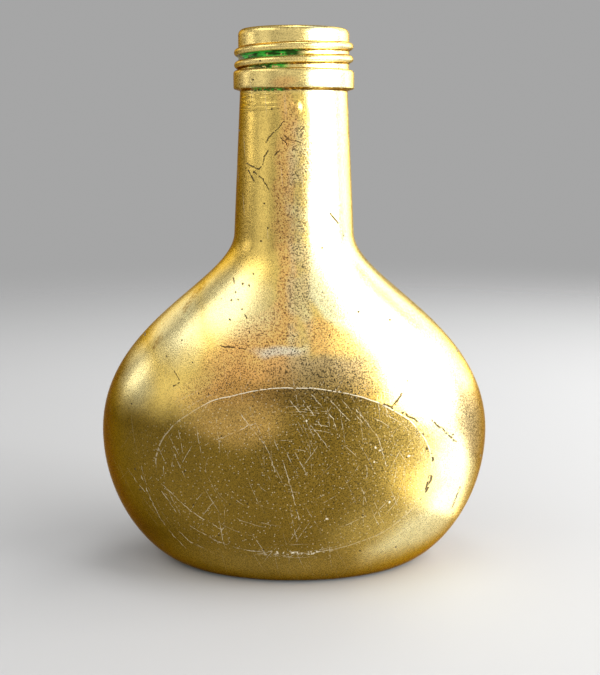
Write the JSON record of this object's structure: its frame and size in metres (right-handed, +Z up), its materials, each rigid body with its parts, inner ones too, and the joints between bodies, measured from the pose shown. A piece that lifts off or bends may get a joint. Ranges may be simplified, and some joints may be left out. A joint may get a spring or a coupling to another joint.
{
  "type": "gilded flask bottle",
  "caption": "Flattened round glass wine flask with a short neck and a screw finish, its outside gilded with metal leaf.",
  "frame": {"origin": "centre of the bearing ring on the underside, on the surface that the bottle stands on", "axes": "+Z up along the neck's axis, X across the wide faces, and the front label panel faces -Y"},
  "size_m": [0.0951, 0.0534, 0.1283],
  "materials": {
    "green_glass": "clear green moulded container glass, fire polished",
    "gold_leaf": "burnished imitation gold leaf with fine grain, scratches and worn edges"
  },
  "bodies": {
    "root": {"glass_bottle": "green_glass", "gold_leaf": "gold_leaf"}
  },
  "joints": []
}
